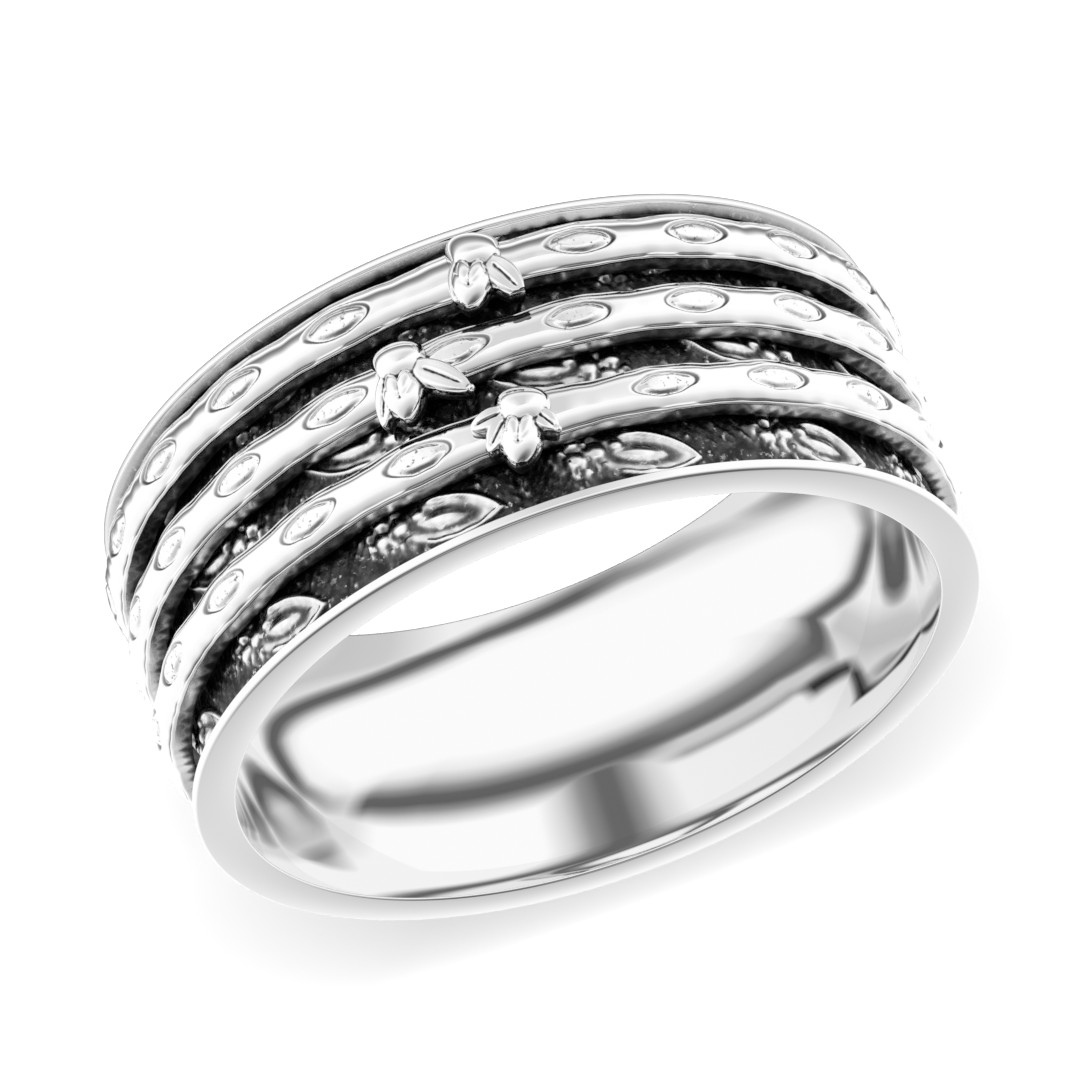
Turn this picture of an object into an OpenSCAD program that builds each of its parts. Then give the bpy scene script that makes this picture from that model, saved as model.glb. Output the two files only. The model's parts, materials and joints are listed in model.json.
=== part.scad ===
// A finger ring whose channelled sleeve carries three loose bands that spin round it.
// Each band is set with oval dimples and one small bee. The channel floor has a cast leaf relief.
// Millimetres. The finger's axis is Z and the origin is the middle of the bore.
// The ring lies on its back face, at the lowest Z, and its front face looks up.

/* [Sleeve] */
// Inside diameter, where the finger goes
bore_d = 18.1; // [16:0.1:21]
// Width of the ring along the finger
ring_w = 8.05; // [7.8:0.05:9.5]
// Wall of the sleeve under the channel
sleeve_t = 0.35; // [0.3:0.01:0.5]
// Height of an end flange above the bore
flange_h = 1.05; // [0.95:0.01:1.3]
// Thickness of a flange where it meets the sleeve
flange_t = 0.42; // [0.34:0.01:0.5]
// Thickness of a flange at its rim
rim_t = 0.25; // [0.18:0.01:0.3]
// Height of the bevel on a flange's channel side
rim_bevel = 0.3; // [0.2:0.01:0.4]
// Broken edge at the rim's outer corner
rim_edge = 0.09; // [0.04:0.01:0.12]
// Broken edge at the mouths of the bore
bore_edge = 0.06; // [0.03:0.01:0.15]

/* [Cast relief] */
// Height of the relief above the channel floor
relief_h = 0.17; // [0.1:0.01:0.25]
// Number of leaves in each of the three rows
leaf_n = 12; // [8:1:13]
// Length of a leaf
leaf_l = 3.1; // [2.4:0.1:3.4]
// Width of a leaf
leaf_w = 1.3; // [1.1:0.05:1.5]
// Width of a leaf's raised outline
leaf_line = 0.17; // [0.12:0.01:0.22]
// Slope of a leaf against the rim, in degrees
leaf_tilt = 13; // [0:1:18]
// Distance from the ring's end face to the middle of the nearest row
leaf_in = 1.2; // [1.1:0.05:1.4]
// Length of the raised eye inside a leaf
eye_l = 1.3; // [0.8:0.1:1.6]
// Width of the raised eye inside a leaf
eye_w = 0.44; // [0.3:0.02:0.6]
// Radius of the largest grain behind a leaf
grain_r = 0.18; // [0.12:0.01:0.22]

/* [Spinning bands] */
// Running clearance between a band's bore and the relief
run_clear = 0.06; // [0.03:0.01:0.1]
// Thickness of a band at its crown
spin_t = 0.79; // [0.6:0.01:1]
// Width of a band at its swellings
spin_w = 1.3; // [1.15:0.05:1.4]
// Width of a band between its swellings
waist_w = 1.06; // [0.9:0.02:1.1]
// How far the crown drops between the swellings
waist_drop = 0.06; // [0.03:0.01:0.1]
// How far the edges of the dome lie below its crown
dome_drop = 0.21; // [0.12:0.01:0.28]
// Gap between the back flange and the back band
back_gap = 0.26; // [0.15:0.01:0.5]
// Gap between the back and middle bands
mid_gap = 0.72; // [0.6:0.02:0.8]
// Gap between the middle and front bands
fore_gap = 0.95; // [0.7:0.05:1.1]

/* [Dimples] */
// Number of dimple places round a band
dimple_n = 21; // [16:1:24]
// Length of a dimple
dimple_l = 2.1; // [1.6:0.1:2.3]
// Width of a dimple
dimple_w = 0.8; // [0.7:0.02:0.9]
// Width of the groove round a dimple's pillow
groove_w = 0.15; // [0.1:0.01:0.2]
// Depth of the groove below the band's crown
groove_d = 0.16; // [0.12:0.01:0.22]

/* [Bees] */
// Height of a bee's back above the band's crown
bee_h = 0.62; // [0.5:0.02:0.8]
// Radius of a bee's head
head_r = 0.4; // [0.34:0.01:0.42]
// Radius of a bee's eye
eye_r = 0.28; // [0.2:0.01:0.3]
// Radius of a bee's thorax
thorax_r = 0.42; // [0.36:0.01:0.46]
// Length of each lobe of a bee's tail
tail_l = 1.26; // [1:0.02:1.3]
// Width of each lobe of a bee's tail
tail_w = 0.58; // [0.46:0.02:0.66]
// Width of a wing
wing_w = 0.5; // [0.4:0.02:0.6]
// Height of a wing's back above the band's crown
wing_h = 0.44; // [0.3:0.02:0.5]

/* [Hidden] */
$fn = 96;
bite = 0.08;
far = 4;

bore_r = bore_d / 2;
half_w = ring_w / 2;
floor_r = bore_r + sleeve_t;
flange_r = bore_r + flange_h;
relief_r = floor_r + relief_h;
spin_in_r = relief_r + run_clear;
crown_r = spin_in_r + spin_t;
waist_r = crown_r - waist_drop;
channel_z = half_w - flange_t;

// Rows of leaves: place along the finger, side of the tails, side to which the leaves slope,
// and how far the row is turned, as a share of the leaf pitch
row_z = half_w - leaf_in;
LEAF_ROWS = [
    [row_z, 1, -1, 0],
    [0, -1, -1, 0.31],
    [-row_z, 1, 1, 0.55],
];
LEAF_PHASE = -78.4;
leaf_pitch = 360 / leaf_n;
// The outline runs from the tip to this share of the length past the middle
outline_share = 0.1;
// Grains at the tail: distance from the middle in leaf lengths, offset in leaf widths, size
GRAINS = [
    [0.50, -0.16, 1],
    [0.34, 0, 1],
    [0.19, 0.16, 0.85],
    [0.52, 0.19, 0.9],
];

// Bands: middle of the band, first dimple, then its bee, its wings and the gaps behind and ahead.
// A bee: place, turn, how far head and tail reach into the gaps, as shares of those gaps, and
// the angle at which the lobes of its tail close. A wing: side, angle to the spine, and length
// as a share of the bee's length.
back_z = -channel_z + back_gap + spin_w / 2;
middle_z = back_z + spin_w + mid_gap;
front_z = middle_z + spin_w + fore_gap;
front_gap = channel_z - front_z - spin_w / 2;
BACK = [back_z, -75, [-94, 20, 0.79, 0.75, 4], [[1, 8, 0.6], [-1, 36, 0.6]], [back_gap, mid_gap]];
MIDDLE = [middle_z, -71, [-80.7, 9, 0.16, 0.82, 7], [[1, 10, 0.6], [-1, 56, 0.64]], [mid_gap, fore_gap]];
FRONT = [front_z, -79, [-93, 20, 0.11, 0.49, 7], [[1, 57, 0.52], [1, 18, 0.52]], [fore_gap, front_gap]];
dimple_pitch = 360 / dimple_n;
// No dimple is cut nearer to a bee than this, in degrees
bee_room = 7;
// A swelling is this long, so that neighbouring ones end just short of each other
pad_l = crown_r * sin(dimple_pitch) * 0.94;
bee_sink = dome_drop + bite;
// How far the middles of a bee's eyes and thorax lie below its back, as shares of their radii,
// and the height of its tail, as a share of the bee's height
eye_drop = 1.4;
thorax_drop = 1.1;
tail_rise = 0.94;
// How far the back of a tail lobe or wing drops towards its ends, as a share of its height
vault = 0.55;

// A pointed oval, l long and w wide
module lens(l, w) {
    r = (l * l + w * w) / (4 * w);
    intersection() {
        translate([0, r - w / 2]) circle(r);
        translate([0, w / 2 - r]) circle(r);
    }
}

// A pointed oval drawn as an outline of the given line width
module lens_line(l, w, line) {
    difference() {
        lens(l, w);
        lens(l - 3 * line, w - 2 * line);
    }
}

// Puts its children on the ring at angle a and place z, with their own X round the ring,
// their own Y along the finger and their own Z pointing outwards from radius r
module on_ring(a, z, r) {
    rotate([0, 0, a]) translate([r, 0, z]) rotate([90, 0, 90]) children();
}

module leaf(tail, lean) {
    rotate([0, 0, lean * leaf_tilt]) {
        intersection() {
            lens_line(leaf_l, leaf_w, leaf_line);
            translate([tail * (outline_share - 0.5) * leaf_l, 0]) square([leaf_l, far], center = true);
        }
        lens(eye_l, eye_w);
    }
}

module grains(tail, lean) {
    slope = lean * leaf_tilt;
    for (g = GRAINS) {
        along = tail * g[0] * leaf_l;
        across = lean * g[1] * leaf_w;
        around = along * cos(slope) - across * sin(slope);
        r = g[2] * grain_r;
        rotate([0, around / relief_r * 180 / PI, 0])
            translate([0, along * sin(slope) + across * cos(slope), relief_r - r])
                sphere(r);
    }
}

module relief() {
    intersection() {
        rotate_extrude()
            translate([floor_r - bite, -channel_z - bite])
                square([relief_h + bite, 2 * (channel_z + bite)]);
        for (row = LEAF_ROWS, i = [0 : leaf_n - 1])
            on_ring(LEAF_PHASE + (i + row[3]) * leaf_pitch, row[0], floor_r - far / 2)
                linear_extrude(far) leaf(row[1], row[2]);
    }
    for (row = LEAF_ROWS, i = [0 : leaf_n - 1])
        on_ring(LEAF_PHASE + (i + row[3]) * leaf_pitch, row[0], 0) grains(row[1], row[2]);
}

module sleeve() {
    side = [
        [bore_r, half_w - bore_edge],
        [bore_r + bore_edge, half_w],
        [flange_r - rim_edge, half_w],
        [flange_r, half_w - rim_edge],
        [flange_r, half_w - rim_t],
        [flange_r - rim_bevel, channel_z],
        [floor_r, channel_z],
    ];
    back = [for (i = [len(side) - 1 : -1 : 0]) [side[i][0], -side[i][1]]];
    rotate_extrude() polygon(concat(side, back));
}

module base_band() {
    color("silver") {
        sleeve();
        relief();
    }
}

// The section of a band: flat inside and at the sides, domed outside
module band_section(inside, crown, w) {
    r = (w * w / 4 + dome_drop * dome_drop) / (2 * dome_drop);
    intersection() {
        translate([crown - r, 0]) circle(r);
        translate([inside, -w / 2]) square([far, w]);
    }
}

module band_blank(first) {
    rotate_extrude() band_section(spin_in_r, waist_r, waist_w);
    intersection() {
        rotate_extrude() band_section(spin_in_r + spin_t / 3, crown_r, spin_w);
        for (i = [0 : dimple_n - 1])
            on_ring(first + i * dimple_pitch, 0, spin_in_r)
                linear_extrude(far) lens(pad_l, spin_w + bite / 4);
    }
}

module dimple_groove(a) {
    on_ring(a, 0, crown_r - groove_d)
        linear_extrude(far) lens_line(dimple_l, dimple_w, groove_w);
}

// A pointed pod along Y with a vaulted back, l long, w wide and h high, rooted in the band
module pod(l, w, h) {
    drop = vault * h;
    r = (l * l / 4 + drop * drop) / (2 * drop);
    intersection() {
        translate([0, 0, -bee_sink]) linear_extrude(far) rotate(90) lens(l, w);
        translate([0, 0, h - r]) sphere(r);
    }
}

// A bee with its head towards -Y and its back up, centred on its length l
module bee(l, turn, wings) {
    top = bee_h + waist_drop;
    head_y = head_r - l / 2;
    neck_y = head_y + head_r / 2;
    translate([0, head_y, top - head_r]) sphere(head_r);
    translate([0, neck_y, top - thorax_r * thorax_drop]) sphere(thorax_r);
    for (s = [-1, 1]) {
        translate([s * eye_r, head_y + eye_r / 4, top - eye_r * eye_drop]) sphere(eye_r);
        translate([s * tail_w / 4, (l - tail_l) / 2, 0])
            rotate([0, 0, s * turn]) pod(tail_l, tail_w, top * tail_rise);
    }
    for (w = wings)
        translate([w[0] * eye_r, neck_y, 0]) rotate([0, 0, -w[0] * w[1]])
            translate([0, w[2] * l / 2, 0]) pod(w[2] * l, wing_w, wing_h + waist_drop);
}

function away(a, b) = abs((a - b + 540) % 360 - 180);

module spinner(row) {
    seat = row[2];
    gaps = row[4];
    head_z = -spin_w / 2 - seat[2] * gaps[0];
    tail_z = spin_w / 2 + seat[3] * gaps[1];
    lean = cos(seat[1]);
    tail_side = tail_w / 4 - tail_l / 2 * sin(seat[4]);
    bee_l = (tail_z - head_z - head_r * (1 - lean) - tail_side * sin(seat[1])) / lean;
    bee_z = head_z + head_r + (bee_l / 2 - head_r) * lean;
    color("gainsboro")
        translate([0, 0, row[0]]) {
            difference() {
                band_blank(row[1]);
                for (i = [0 : dimple_n - 1]) {
                    a = row[1] + i * dimple_pitch;
                    if (away(a, seat[0]) > bee_room) dimple_groove(a);
                }
            }
            on_ring(seat[0], bee_z, waist_r) rotate([0, 0, -seat[1]]) bee(bee_l, seat[4], row[3]);
        }
}

module spinner_back() { spinner(BACK); }
module spinner_middle() { spinner(MIDDLE); }
module spinner_front() { spinner(FRONT); }

base_band();
spinner_back();
spinner_middle();
spinner_front();
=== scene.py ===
"""A silver spinner ring lying on a pale floor: a channelled sleeve with cast leaves and three loose
bands, each with dimples and a small bee. Shapes are worked out in millimetres and made in metres."""
import json
import math

import bpy
import numpy as np
from mathutils import Matrix, Vector


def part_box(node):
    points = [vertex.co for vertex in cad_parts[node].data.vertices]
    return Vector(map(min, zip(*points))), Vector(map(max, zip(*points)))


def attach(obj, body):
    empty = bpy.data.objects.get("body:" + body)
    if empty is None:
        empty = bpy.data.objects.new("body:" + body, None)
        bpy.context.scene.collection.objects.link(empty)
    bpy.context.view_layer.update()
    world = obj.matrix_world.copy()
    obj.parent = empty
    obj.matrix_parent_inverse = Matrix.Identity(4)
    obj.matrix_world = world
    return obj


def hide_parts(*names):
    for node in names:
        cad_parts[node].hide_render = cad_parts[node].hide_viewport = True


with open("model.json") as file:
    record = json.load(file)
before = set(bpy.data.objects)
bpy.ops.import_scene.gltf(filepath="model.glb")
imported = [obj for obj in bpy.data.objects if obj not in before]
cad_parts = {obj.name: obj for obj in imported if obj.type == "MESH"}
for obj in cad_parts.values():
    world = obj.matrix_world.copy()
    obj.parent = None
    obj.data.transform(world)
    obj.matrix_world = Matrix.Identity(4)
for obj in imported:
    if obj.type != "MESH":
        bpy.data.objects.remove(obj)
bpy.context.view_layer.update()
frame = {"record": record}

MM = 0.001
TAU = 2 * math.pi

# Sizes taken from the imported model
mounts = {m["name"]: m for m in frame["record"]["mounts"]}
HALF_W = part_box("base_band")[1].z / MM
FLANGE_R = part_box("base_band")[1].x / MM
BORE_R = mounts["finger_bore"]["dims"]["r_mm"]
CROWN_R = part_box("spinner_back")[1].x / MM

# Sizes of the sleeve. Each EDGE is the radius to which a corner of its outline is rounded.
SLEEVE_T = 0.35
FLANGE_T = 0.42
RIM_T = 0.25
RIM_BEVEL = 0.3
BORE_EDGE = 0.06
RIM_EDGE = 0.09
RIM_BACK_EDGE = 0.03
BEVEL_EDGE = 0.04
FLOOR_EDGE = 0.05
FLOOR_R = BORE_R + SLEEVE_T
CHANNEL_Z = HALF_W - FLANGE_T
# Its mesh: columns round, and the longest step along its outline
SLEEVE_TURNS = 760
SLEEVE_STEP = 0.8
# Where its oxide starts and where it is full: down from the rim, past the channel's end and up from the bore
OXIDE_BELOW_RIM = (0.1, 0.42)
OXIDE_PAST_END = (0.06, -0.02)
OXIDE_ABOVE_BORE = (0.1, 0.2)

# Sizes of the cast relief
RELIEF_H = 0.17
LEAF_N = 12
LEAF_L = 3.1
LEAF_W = 1.3
LEAF_TILT = 13
LEAF_IN = 1.2
LEAF_PHASE = -78.4
# Rows of leaves: place along the finger, side of the tails, side to which the leaves slope, turn in pitches
ROW_Z = HALF_W - LEAF_IN
LEAF_ROWS = [(ROW_Z, 1, -1, 0.0), (0.0, -1, -1, 0.31), (-ROW_Z, 1, 1, 0.55)]
# How uneven the rows are: a leaf's shift round and along the finger, its turn in radians, and its wavy lines
LEAF_SEED = 50
LEAF_SHIFT = (0.05, 0.03)
LEAF_TURN = 0.03
LEAF_WARP = 0.02
# A leaf's outline: width, how much that varies, where it starts to fade in leaf lengths from the middle, and
# over what length it fades
LEAF_LINE = 0.2
LINE_VARIES = 0.25
OUTLINE_SHARE = 0.1
OUTLINE_FADE = 0.5
# The body that fills it: height, how much that varies, how far in from the edge it is full, where it has
# ended and where it is still full in leaf lengths from the middle, and the height below which it is its foot
LEAF_BODY = 0.1
BODY_VARIES = 0.45
BODY_RISE = 0.16
BODY_END = (0.42, 0.2)
BODY_FOOT = 0.02
# The eye: length, width, height as a share of the relief, and how much narrower than an ellipse its ends are
EYE_L = 1.3
EYE_W = 0.46
EYE_SHARE = 0.97
EYE_POINT = 0.55
# The moat round the eye: where it ends and where it is full, in sizes of the eye, and how deep it is
MOAT = (1.6, 1.2)
MOAT_D = 0.03
# The bud between eye and tip: place in leaf lengths, half sizes, and height as a share of the relief
BUD_AT = -0.33
BUD_SIZE = (0.2, 0.1)
BUD_SHARE = 0.75
# A grain of size 1: radius along the leaf, then radius across it and height as shares of that
GRAIN_R = 0.245
GRAIN_ROUND = (0.92, 0.95)
# Grains at the tail: distance from the middle in leaf lengths, offset in leaf widths, size
GRAINS = [
    (0.50, -0.16, 1.2), (0.34, 0.0, 1.25), (0.19, 0.16, 0.9), (0.52, 0.19, 0.9),
    (0.40, 0.34, 0.55), (0.28, -0.26, 0.6), (0.43, -0.38, 0.5), (0.62, 0.02, 0.6), (0.12, -0.36, 0.45),
]
# The crumbly bright metal round the grains: place along and across a leaf, half sizes, where it ends and is
# full in those, and how much its edge wanders
CRUMBS_AT = (1.15, -0.12)
CRUMBS_SIZE = (1.2, 0.55)
CRUMBS_EDGE = (1.15, 0.6)
CRUMBS_WARP = 0.15

# The ground between the leaves: the waves that make it uneven, and the heights below which it starts to be
# rough and is wholly rough
LUMPS = {"seed": 3, "count": 11, "turns": (30, 110), "pitch": 9}
FINE = {"seed": 4, "count": 15, "turns": (90, 300), "pitch": 26}
ROUGH_BELOW = (0.10, 0.03)
# How high the waves are where crumbs, specks and streaks start and where they are full
CRUMBS_FINE = (-0.3, 0.9)
SPECKS_FINE = (0.7, 1.4)
SPECKS_LUMPS = (-0.6, 0.8)
STREAKS_FINE = (0.1, 1.0)
STREAKS_LUMPS = (0.3, 1.4)
# How much the lumps vary a leaf. Heights of the ground, lumps, fine waves and specks, and of the crumbs and
# the fine waves on them.
LEAF_VARIES = 0.5
GROUND = 0.03
LUMP_H = 0.014
FINE_H = 0.008
SPECK_H = 0.03
CRUMB_H = (0.03, 0.022)

# Patina of the relief: a leaf's, what its body takes away and what its moat adds
LEAF_PATINA = 0.92
BODY_BRIGHT = 0.78
MOAT_DARK = 0.6
# What stands the first of these above the body starts to be polished, and the second is wholly polished
POLISHED_FROM = (0.01, 0.05)
# The ground's patina, what crumbs, streaks and specks take away and what lumps add. On metal that is higher
# than RIDGE_FROM, fine waves change it a little.
GROUND_PATINA = 0.93
CRUMB_BRIGHT = (0.2, 0.7)
STREAK_BRIGHT = 0.55
SPECK_BRIGHT = 0.6
LUMP_DARK = 0.06
RIDGE_BRIGHT = 0.05
RIDGE_FROM = (0.06, 0.09)
# The back row is rubbed bare at one place: its angle and half its span, the share of that which is fully
# bare, its fade along the finger, how bare the sleeve is, and how bare the relief is with what lumps add
BARE_AT = -107
BARE_SPAN = 15
BARE_FULL = 0.6
BARE_FADE = 0.4
BARE_SLEEVE = 0.85
BARE_RELIEF = (0.7, 0.25)

# The mesh of the relief: columns round, and steps along the finger where it shows, under the bands, and the
# least that the last one may be
RELIEF_TURNS = 1200
SEEN_STEP = 0.045
HIDDEN_STEP = 0.12
LAST_STEP = 0.02
# It is a strip laid on the channel floor: how far it is lifted, its height as a share of the field's, how far
# its edges are sunk into the sleeve, and how far in from a band's edges it still shows
STRIP_LIFT = 0.012
STRIP_SHARE = 0.93
STRIP_SINK = 0.02
SEEN_UNDER = 0.25

# Sizes of the bands
RUN_CLEAR = 0.06
SPIN_W = 1.3
WAIST_W = 1.17
WAIST_DROP = 0.05
SWELL_CURVE = 0.8
BACK_GAP = 0.26
MID_GAP = 0.72
FORE_GAP = 0.95
SPIN_IN_R = FLOOR_R + RELIEF_H + RUN_CLEAR
WAIST_R = CROWN_R - WAIST_DROP
BACK_Z = -CHANNEL_Z + BACK_GAP + SPIN_W / 2
MIDDLE_Z = BACK_Z + SPIN_W + MID_GAP
FRONT_Z = MIDDLE_Z + SPIN_W + FORE_GAP
# Each band: CAD node, body, middle, angle of its first dimple, angle of its bee
BANDS = [
    ("spinner_back", "back_spinner", BACK_Z, -75, -94),
    ("spinner_middle", "middle_spinner", MIDDLE_Z, -71, -80.7),
    ("spinner_front", "front_spinner", FRONT_Z, -79, -93),
]
# The dome over a band ends at DOME_SHARE of its half width, and drops there by DOME_DROP_SHARE of DOME_DROP
DOME_SHARE = 0.87
DOME_DROP = 0.21
DOME_CURVE = 2.2
DOME_DROP_SHARE = 0.95
# Past it come a thin line, a ledge and a rounded corner, with their places in shares of the half width too.
# The line breaks off where its waves are low.
LINE_AT = 0.90
LINE_SPREAD = 0.014
LINE_D = 0.07
LINE_PATINA = 0.95
LINE_BREAKS = (-0.9, 0.7)
LEDGE_AT = (0.89, 0.93)
LEDGE_DROP = 0.03
CORNER_AT = (0.94, 1.0)
CORNER_DROP = 0.05
# Unevenness from making by hand. The dome is lowered by as much.
HAND_MADE = 0.008
# The dimples: number, sizes, and where they fade out towards the dome's edge, in shares of the half width
DIMPLE_N = 21
DIMPLE_L = 2.0
DIMPLE_W = 0.82
DIMPLE_D = 0.09
DIMPLE_FADE = (0.88, 0.80)
# No dimple lies nearer to a bee than this, in degrees
BEE_ROOM = 7
# How uneven the dimples are: turn in radians, mean and spread of their lengths and widths, shift across, and
# wobble of the outline
DIMPLE_TURN = 0.05
DIMPLE_LENGTHS = (0.94, 0.04)
DIMPLE_WIDTHS = (0.92, 0.06)
DIMPLE_SHIFT = 0.02
DIMPLE_WOBBLE = 0.02
# How much narrower than those of an ellipse a dimple's ends are
DIMPLE_POINT = 0.35
# Across a dimple, from 0 in its middle to 1 at its edge: the groove's outer side, and the pillow in it
GROOVE_SIDE = (0.84, 1.0)
PILLOW_SIDE = (0.50, 0.86)
PILLOW_SHARE = 0.94
# The rim field outside the dimples, and the side of a dimple where its outline gets painted shade, as mean
# and spread in half turns
NO_RIM = 2
PAINTED_SHADE_AT = (0.62, 0.16)
# Their mesh: columns round, rows over the dome, and rows past it in shares of the half width
BAND_TURNS = 1150
DOME_ROWS = 34
EDGE_ROWS = [0.89, 0.905, 0.93, 0.96, 0.985, 1]
# Rows down a side wall: share of its depth, and share of the half width. Then the rows across the bore.
WALL_ROWS = [(0.1, 1), (0.25, 1), (0.4, 1), (0.55, 1), (0.75, 1), (0.97, 1), (1.0, 0.97)]
BORE_ROWS = (0.5, 0.0, -0.5)
# How black the side walls are at their foot, where on them the black starts and is full, and how black they
# are at least. Then how strong wear is, how far it moves the black, how much it adds, and the bore's black.
WALL_PATINA = 0.92
WALL_DARK = (0.4, 0.95)
WALL_LEAST = 0.1
WEAR = 0.3
WEAR_MOVES = 0.5
WEAR_DARKENS = 0.15
BORE_PATINA = 0.6
# The seed of each band, what each kind of unevenness adds to it, and the waves of that kind
BAND_SEEDS = (20, 27, 34)
WOBBLE_SEED, LINE_SEED, HAND_SEED, WEAR_SEED = 3, 4, 9, 12
WOBBLE_WAVES = {"count": 5, "turns": (60, 140), "pitch": 5}
LINE_WAVES = {"count": 6, "turns": (8, 60)}
HAND_WAVES = {"count": 9, "turns": (20, 110), "pitch": 4}
WEAR_WAVES = {"count": 9, "turns": (20, 160)}

# Sizes of the bees: height above the band's crown, widths, and the wings' height above its waist
BEE_H = 0.61
HEAD_W = 1.32
TAIL_W = 1.04
WING_H = 0.46
# Each bee, from back to front: its lean, then its wings: side, angle to the spine, length, width
BEES = [
    (20, [(1, 2, 1.25, 0.52), (-1, 44, 1.42, 0.78)]),
    (9, [(1, 12, 1.45, 0.52), (-1, 52, 1.7, 0.76)]),
    (20, [(1, 64, 1.0, 0.62), (1, 22, 1.15, 0.6), (-1, 50, 0.8, 0.56)]),
]
# Along a bee, in its lengths: its head part, its neck, the roots of its wings, and the lobes of its back
HEAD_SHARE = 0.62
NECK_AT = 0.38
ROOT_AT = 0.33
LOBE_SHARE = 0.5
# How far the head is set forward
HEAD_FORWARD = 0.02
# A lobe's place aside, turn in radians and width, the heights of lobes and tail as shares of the head's, and
# the place aside of a wing's root
LOBE_ASIDE = 0.22
LOBE_TURN = -0.2
LOBE_W = 0.5
LOBE_H = 0.98
TAIL_H = 0.9
WING_ASIDE = 0.26
# The forms of the parts, as petal takes them
HEAD_FORM = {"full": 0.5, "skew": 0.62, "vault": 0.7, "flat": 0.95}
TAIL_FORM = {"full": 0.55, "vault": 0.5, "flat": 0.8,
             "crease": 0.14, "crease_w": 0.04, "crease_span": (0.2, 0.7)}
LOBE_FORM = {"vault": 0.4}
WING_FORM = {"full": 0.6, "vault": 0.25, "flat": 0.45, "rim": 0.045, "crease": 0.07, "crease_w": 0.03}
# The bead at the tip of the last wing: its height above the band, and its half sizes
BEAD_Z = 0.28
BEAD_R = 0.09
BEAD_H = 0.13
# Meshes of the parts, as rings and sides, and how far short of their ends they are capped: a share of a
# petal's length, and an angle in radians on an egg
PETAL_GRID = (44, 56)
EGG_GRID = (18, 24)
PETAL_TIP = 0.015
EGG_TIP = 0.02
# The curves of a petal's vault and underside, over what share of its length a crease starts and ends, and
# where the hollow in it starts and is full, in shares of its half width and of its length
VAULT_CURVE = 0.8
UNDER_CURVE = 0.4
CREASE_STARTS = 0.12
CREASE_ENDS = 0.15
HOLLOW_ACROSS = (0.8, 0.35)
HOLLOW_ALONG = (0.1, 0.3)
# A bee is shorter than its CAD box by this, stands this far inside it, and is melted to voxels of this size
BEE_SHORTER = 0.12
BEE_INSIDE = (0.01, 0.005)
BEE_VOXEL = 0.023
# Where its patina starts and is full: down to its foot, and in its creases
FOOT_DARK = (-0.02, 0.14)
CREASE_DARK = (0.02, 0.10)


def smooth(a, b, x):
    """0 below a, 1 above b and a smooth rise between, also where a is above b."""
    t = np.clip((np.asarray(x, float) - a) / (b - a), 0, 1)
    return t * t * (3 - 2 * t)


def waves(theta, z, seed, count, turns, pitch=2.0):
    """Seeded smooth unevenness of about -1 to 1 that closes on itself round the ring."""
    rng = np.random.default_rng(seed)
    total = np.zeros(np.broadcast(theta, z).shape)
    for _ in range(count):
        k = rng.integers(*turns)
        total += np.cos(k * theta + rng.uniform(-pitch, pitch) * z + rng.uniform(0, TAU))
    return total / math.sqrt(count)


# Meshes
def new_object(name, data):
    """An object in the scene that holds the data."""
    obj = bpy.data.objects.new(name, data)
    bpy.context.scene.collection.objects.link(obj)
    return obj


def new_mesh(name, points, faces, **fields):
    """An object from points in millimetres. Each field becomes a point attribute that the materials read:
    patina is 0 where polished and 1 where black, rim is the place across a dimple's outline, and one more
    field holds a painted shade that darkens that outline on one side."""
    mesh = bpy.data.meshes.new(name)
    points = np.asarray(points, np.float64) * MM
    sizes = np.array([len(face) for face in faces])
    flat = np.concatenate(faces) if isinstance(faces, list) else faces.reshape(-1)
    mesh.vertices.add(len(points))
    mesh.vertices.foreach_set("co", points.astype(np.float32).reshape(-1))
    mesh.loops.add(len(flat))
    mesh.loops.foreach_set("vertex_index", flat.astype(np.int32))
    mesh.polygons.add(len(sizes))
    mesh.polygons.foreach_set("loop_start", np.concatenate([[0], np.cumsum(sizes)[:-1]]).astype(np.int32))
    mesh.update(calc_edges=True)
    mesh.validate()
    mesh.polygons.foreach_set("use_smooth", np.ones(len(mesh.polygons), bool))
    for key, values in fields.items():
        mesh.attributes.new(key, "FLOAT", "POINT").data.foreach_set("value", np.float32(values).reshape(-1))
    return new_object(name, mesh)


def loop_faces(nu, nv):
    """Quads of a grid of nu rings by nv points that closes on itself both ways."""
    i, j = np.meshgrid(np.arange(nu), np.arange(nv), indexing="ij")
    i2, j2 = (i + 1) % nu, (j + 1) % nv
    return np.stack([i * nv + j, i2 * nv + j, i2 * nv + j2, i * nv + j2], -1).reshape(-1, 4)


def around(theta, r, z):
    """Points at angle theta and radius r round the finger's axis, at height z."""
    return np.stack([r * np.cos(theta), r * np.sin(theta), z + 0 * theta], -1)


def filleted(corners, step, arc_points=4):
    """A closed outline of (r, z, fillet) corners, as points. Straights are split into pieces up to step."""
    rounded = []
    n = len(corners)
    for i, (r, z, fillet) in enumerate(corners):
        here = np.array([r, z])
        back = np.array(corners[i - 1][:2]) - here
        ahead = np.array(corners[(i + 1) % n][:2]) - here
        back, ahead = back / np.linalg.norm(back), ahead / np.linalg.norm(ahead)
        half = math.acos(np.clip(back @ ahead, -1, 1)) / 2
        cut = fillet / math.tan(half)
        mid = here + (back + ahead) / np.linalg.norm(back + ahead) * fillet / math.sin(half)
        a, b = here + back * cut - mid, here + ahead * cut - mid
        for t in np.linspace(0, 1, arc_points):
            outward = a * (1 - t) + b * t
            rounded.append(mid + outward / np.linalg.norm(outward) * fillet)
    outline = []
    for a, b in zip(rounded, rounded[1:] + rounded[:1]):
        pieces = max(1, math.ceil(np.linalg.norm(b - a) / step))
        outline += [a + (b - a) * k / pieces for k in range(pieces)]
    return np.array(outline)


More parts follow.
